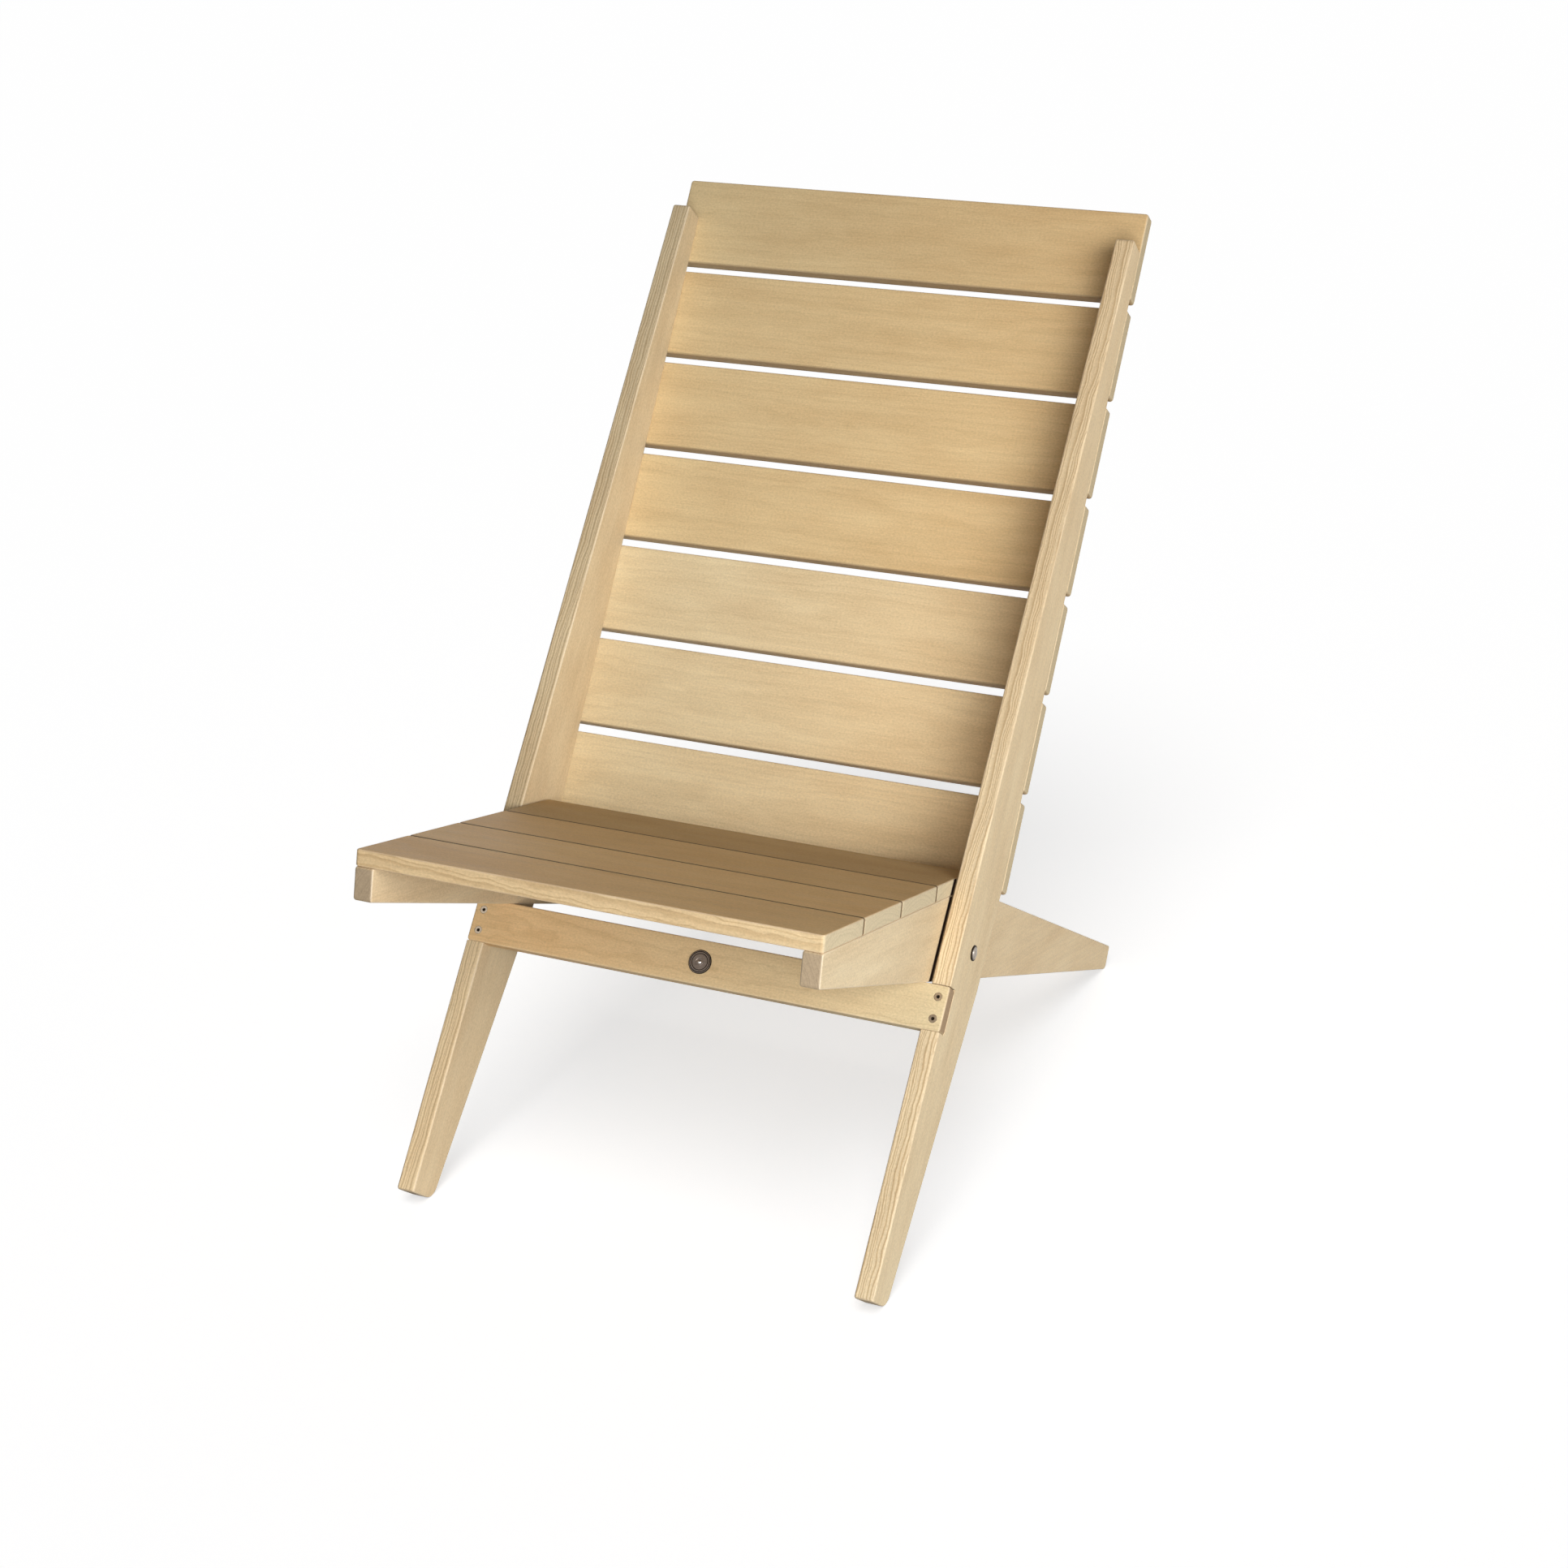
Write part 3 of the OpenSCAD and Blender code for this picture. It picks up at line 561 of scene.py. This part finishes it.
def woodPiece(node, kind, origin, ways, joints=(0.0, 0.0), shaded=False,
              half=chair["slatWidth"] / 2, name=None):
    # The ways run along, across and through the board, and the darkened edges lie half its width out
    *cut, tone = cuts[node]
    look = dict(woods[kind])
    for label in ("Edge Pale", "Pale"):
        look[label] = tuple(part * tone for part in look.get(label, look["Pale"])[:3]) + (1,)
    look.update(zip(cutInputs, cut))
    material, tree, shader = startMaterial(name or materialName("pine", node))
    look.update({
        "Point": ownAxes(tree, (-950, 100), "Object", ways, origin),
        "Facing": ownAxes(tree, (-950, -250), "Normal", ways),
        "Half Width": half, "Low Dust And Shade": joints[0], "High Dust And Shade": joints[1]})
    # Seat rails and the rear seat slats take the painted shadow line behind the back rails' front edges
    if shaded:
        look["Shade"] = useGroup(tree, crossingShade, (-700, 500), {
            "Point": addNode(tree, "TexCoord", (-900, 500)).outputs["Object"]})["Mask"]
    shader.inputs["Specular IOR Level"].default_value = woodSurface["gloss"]
    dress(node, material, tree, shader, useGroup(tree, oiledPine, (-400, 0), look), woodSurface)


across = Vector((1, 0, 0))
railBack, railUp = axes(chair["backLean"])
slatBack, slatUp = axes(chair["slatLean"])
seatBack, seatUp = axes(chair["seatRise"])
slatFoot = tilted(chair["backLean"], chair["railRear"], chair["firstSlat"])
stretcherFront = tilted(chair["backLean"], chair["railFront"], chair["stretcherLow"])

for side, name in ((-1, "left"), (1, "right")):
    isLeft = name == "left"
    woodPiece("back_rail_" + name, "leftRail" if isLeft else "rail",
              chair["pivot"] + across * side * chair["railLine"], (railUp, railBack * -side, across * side),
              joints=(0.0, dustAndShade["leftRail"] if isLeft else 0.0),
              half=chair["railRear"] + pineLook["dustAndShadeDepth"][1])
    woodPiece("seat_rail_" + name, "seatRail", chair["pivot"] + across * side * chair["seatLine"],
              (seatBack, seatUp * side, across * side), shaded=True)
for number in range(1, chair["backSlats"] + 1):
    up = (chair["backSlats"] - number) * chair["slatPitch"] + chair["slatWidth"] / 2
    # their lower edges get painted shade
    woodPiece("back_slat_%d" % number, "slat" if number < chair["firstLowSlat"] else "lowSlat",
              slatFoot + slatUp * up, (across, slatUp, -slatBack), joints=(dustAndShade["backSlat"], 0.0))
for number in range(1, chair["seatSlats"] + 1):
    back = -chair["seatReach"] + (number - 1) * chair["seatPitch"] + chair["slatWidth"] / 2
    isFirst, isLast = number == 1, number == chair["seatSlats"]
    woodPiece("seat_slat_%d" % number, "seat", tilted(chair["seatRise"], back, chair["seatLow"]),
              (across, seatBack, seatUp), shaded=number >= chair["firstShaded"],
              joints=(0.0 if isFirst else dustAndShade["seatSlat"], 0.0 if isLast else dustAndShade["seatSlat"]))
woodPiece("front_stretcher", "stretcher", stretcherFront, (across, railUp, -railBack))
woodPiece("seat_slat_dowels", "beech", chair["pivot"], (seatUp, across, seatBack), name="beechDowels")
print("dressed", len(cuts), "nodes of wood")


# Metals: grime and painted shade lie below Deep, though not within Clean, and all over outside Rim; on the
# badge it is patina in the grooves and round the rim
metals = {
    # the dark ring round the bolt's head is painted shade
    "bolt": {
        "Bright": (0.42, 0.375, 0.33, 1), "Dull": (0.16, 0.125, 0.10, 1), "Tarnish": 0.6, "Marks": 0.35,
        "Deep": 0.0003, "Rim": 0.0054, "Fade": 0.0014, "Dome": 60.0},
    "zinc": {
        "Bright": (0.62, 0.61, 0.60, 1), "Dull": (0.40, 0.385, 0.36, 1), "Tarnish": 0.5, "Marks": 0.35},
    # the dark socket and the dark ring round the screw heads are painted shade
    "screw": {
        "Bright": (0.52, 0.42, 0.31, 1), "Dull": (0.34, 0.26, 0.18, 1), "Tarnish": 0.6, "Marks": 0.4,
        "Deep": -0.0014, "Rim": 0.0036, "Fade": 0.0003},
    "pewter": {
        "Bright": (0.50, 0.45, 0.415, 1), "Dull": (0.26, 0.21, 0.185, 1), "Tarnish": 0.55, "Marks": 0.8,
        "Deep": 0.00125, "Rim": 0.0108, "Fade": 0.0003, "Clean": 0.0055},
    # the dark ring round the nail's head is painted shade
    "nail": {
        "Bright": (0.78, 0.75, 0.71, 1), "Dull": (0.42, 0.38, 0.34, 1), "Tarnish": 0.2, "Marks": 0.2,
        "Deep": 0.0016, "Rim": 0.0016, "Fade": 0.0002},
}
metalBump = {"depth": 0.00004, "strength": 0.5}


def metalPiece(node, kind, origin, ways, fold=None):
    material, tree, shader = startMaterial(materialName(kind, node))
    point = ownAxes(tree, (-950, 100), "Object", ways, origin)
    if fold:
        point = fold(tree, point)
    shader.inputs["Metallic"].default_value = 1.0
    made = useGroup(tree, turnedMetal, (-400, 0), dict(metals[kind], Point=point))
    dress(node, material, tree, shader, made, metalBump)


# Screws stand in rows, so their places are folded on to one screw
screws = {
    "stretcherHalf": 0.0105,     # half the distance between the two screws of a pair
    "slatHalf": 0.025,
    "topRow": 0.600,             # the top slat's pair sits lower and closer
    "topMiddle": 0.6245,
    "topHalf": 0.0115,
}


def mirrored(tree, at, value, half):
    # Distance from the nearer of two places that lie half to each side
    return doMath(tree, "SUBTRACT", (at[0] + 150, at[1]), doMath(tree, "ABSOLUTE", at, value), half)


def foldStretcher(tree, point):
    parts = split(tree, (-950, 500), point)
    x = mirrored(tree, (-800, 500), parts["X"], chair["railLine"])
    y = mirrored(tree, (-800, 350), parts["Y"], screws["stretcherHalf"])
    return joined(tree, (-500, 400), x, y, parts["Z"])


def foldSlats(tree, point):
    parts = split(tree, (-1250, 500), point)
    x = mirrored(tree, (-800, 500), parts["X"], chair["railLine"])
    row = doMath(tree, "MODULO", (-1100, 350), parts["Y"], chair["slatPitch"])
    pair = doMath(tree, "SUBTRACT", (-950, 350), row, chair["slatWidth"] / 2)
    low = mirrored(tree, (-800, 350), pair, screws["slatHalf"])
    topPair = doMath(tree, "SUBTRACT", (-950, 200), parts["Y"], screws["topMiddle"])
    high = mirrored(tree, (-800, 200), topPair, screws["topHalf"])
    isTop = doMath(tree, "GREATER_THAN", (-800, 50), parts["Y"], screws["topRow"])
    return joined(tree, (-350, 400), x, mixValue(tree, (-500, 250), isTop, low, high), parts["Z"])


outFront = (across, railUp, -railBack)
for side, name in ((-1, "left"), (1, "right")):
    metalPiece("pivot_bolt_" + name, "bolt", chair["pivot"] + across * side * chair["outside"],
               (railUp, railBack * -side, across * side))
for node in ("pivot_nut_left", "pivot_nut_right", "gap_washers", "nut_washers"):
    metalPiece(node, "zinc", chair["pivot"], (railUp, -railBack, across))
metalPiece("stretcher_screws", "screw", stretcherFront, outFront, foldStretcher)
metalPiece("back_slat_screws", "screw", slatFoot + slatBack * chair["slatThick"], (-across, slatUp, slatBack),
           foldSlats)
metalPiece("badge_plate", "pewter", stretcherFront, outFront)
metalPiece("badge_nail", "nail", stretcherFront, outFront)
print("dressed the metal parts")


# Studio: big soft lights from the right, the front and twice from behind, where the lower one
# leaves the seat out, and one overhead that only draws the soft shadow under the chair
studio = {
    "key": {"aim": 0.42, "toward": Vector((0.814, -0.470, 0.330)), "away": 3.4, "size": 1.7, "power": 80.0},
    "front": {"aim": 0.30, "toward": Vector((0.480, -0.855, 0.190)), "away": 2.5, "size": 1.4, "power": 42.0},
    "rear": {"aim": 0.42, "toward": Vector((-0.50, 0.80, 0.50)), "away": 3.4, "size": 2.2, "power": 21.0},
    "back": {"aim": 0.42, "toward": Vector((-0.62, 0.76, 0.16)), "away": 3.4, "size": 2.0, "power": 45.0},
    "overhead": {"tilt": (36.0, 12.0), "softness": 29.0, "strength": 1.22},
    "ambient": 0.095,
    "ambientColour": (1.0, 0.90, 0.77, 1),
    "backdrop": (1, 1, 1, 1),
    "floorSize": 60.0,
    "floorHeight": -0.0002,
    "floorColour": (0.80, 0.80, 0.80, 1),       # as the camera sees it
    "floorBounce": (0.20, 0.20, 0.20, 1),       # as it lights the chair
    "floorRough": 0.9,
    "floorGlow": 0.69,
    "glowColour": (0.975, 0.985, 1.0, 1),
}

bpy.ops.mesh.primitive_plane_add(size=studio["floorSize"], location=(0, 0, studio["floorHeight"]))
floor = bpy.context.active_object
floor.name = "studioFloor"


def lightGroup(name, state, members):
    # A light link that takes some objects in or leaves them out
    group = bpy.data.collections.new(name)
    for number, member in enumerate(members):
        group.objects.link(member)
        group.collection_objects[number].light_linking.link_state = state
    return group


seatSlats = [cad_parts["seat_slat_%d" % number] for number in range(1, chair["seatSlats"] + 1)]
notFloor = lightGroup("notFloor", "EXCLUDE", [floor])
onlyFloor = lightGroup("onlyFloor", "INCLUDE", [floor])
notSeat = lightGroup("notSeat", "EXCLUDE", [floor] + seatSlats)


def softLight(name, look, reach):
    place = Vector((0, 0, look["aim"])) + look["toward"].normalized() * look["away"]
    bpy.ops.object.light_add(type="AREA", location=place)
    lamp = bpy.context.active_object
    lamp.name = name
    lamp.rotation_euler = look["toward"].to_track_quat("Z", "Y").to_euler()
    lamp.data.shape = "SQUARE"
    lamp.data.size = look["size"]
    lamp.data.energy = look["power"]
    lamp.light_linking.receiver_collection = reach


for name, reach in (("key", notFloor), ("front", notFloor), ("rear", notFloor), ("back", notSeat)):
    softLight(name + "Softbox", studio[name], reach)
tilt = [math.radians(angle) for angle in studio["overhead"]["tilt"]]
bpy.ops.object.light_add(type="SUN", rotation=tilt + [0])
lamp = bpy.context.active_object
lamp.name = "overheadShadow"
lamp.data.angle = math.radians(studio["overhead"]["softness"])
lamp.data.energy = studio["overhead"]["strength"]
lamp.light_linking.receiver_collection = onlyFloor


def seenDirectly(tree, at):
    # 1 for rays from the camera, in mirrors and through glass
    path = addNode(tree, "LightPath", at).outputs
    some = doMath(tree, "MAXIMUM", (at[0] + 200, at[1]), path["Is Camera Ray"], path["Is Glossy Ray"])
    return doMath(tree, "MAXIMUM", (at[0] + 400, at[1]), some, path["Is Transmission Ray"])


world = bpy.data.worlds.new("studioWorld")
bpy.context.scene.world = world
world.use_nodes = True
tree = world.node_tree
tree.nodes.clear()
soft = addNode(tree, "Background", (0, 100), {
    "Color": studio["ambientColour"], "Strength": studio["ambient"]})
white = addNode(tree, "Background", (0, -100), {"Color": studio["backdrop"], "Strength": 1.0})
both = addNode(tree, "MixShader", (250, 0), {
    0: seenDirectly(tree, (-700, 0)), 1: soft.outputs[0], 2: white.outputs[0]})
addNode(tree, "OutputWorld", (450, 0), {"Surface": both.outputs[0]})

material, tree, shader = startMaterial("paleFloor")
seen = seenDirectly(tree, (-700, -300))
setInputs(tree, shader, {
    "Base Color": mixColour(tree, (0, 100), seen, studio["floorBounce"], studio["floorColour"]),
    "Roughness": studio["floorRough"], "Specular IOR Level": 0.0, "Emission Color": studio["glowColour"],
    "Emission Strength": doMath(tree, "MULTIPLY", (0, -300), seen, studio["floorGlow"])})
floor.data.materials.append(material)
print("lit the studio")


# Camera, solved from the photograph
camera = {
    "place": Vector((1.026351, -2.252618, 1.422138)),
    "right": Vector((0.912084, 0.409719, -0.015273)),
    "up": Vector((-0.165251, 0.401448, 0.900851)),
    "back": Vector((0.375227, -0.819128, 0.433860)),
    "sensor": 36.0,
    "lens": 62.42,
    "shift": (0.00846, 0.06984),
    "clip": (0.05, 100.0),
}
bpy.ops.object.camera_add(location=camera["place"])
view = bpy.context.active_object
view.name = "photoCamera"
view.rotation_euler = Matrix((camera["right"], camera["up"], camera["back"])).transposed().to_euler()
view.data.sensor_width = camera["sensor"]
view.data.lens = camera["lens"]
view.data.shift_x, view.data.shift_y = camera["shift"]
view.data.clip_start, view.data.clip_end = camera["clip"]
bpy.context.scene.camera = view
bpy.context.scene.view_settings.view_transform = "Standard"
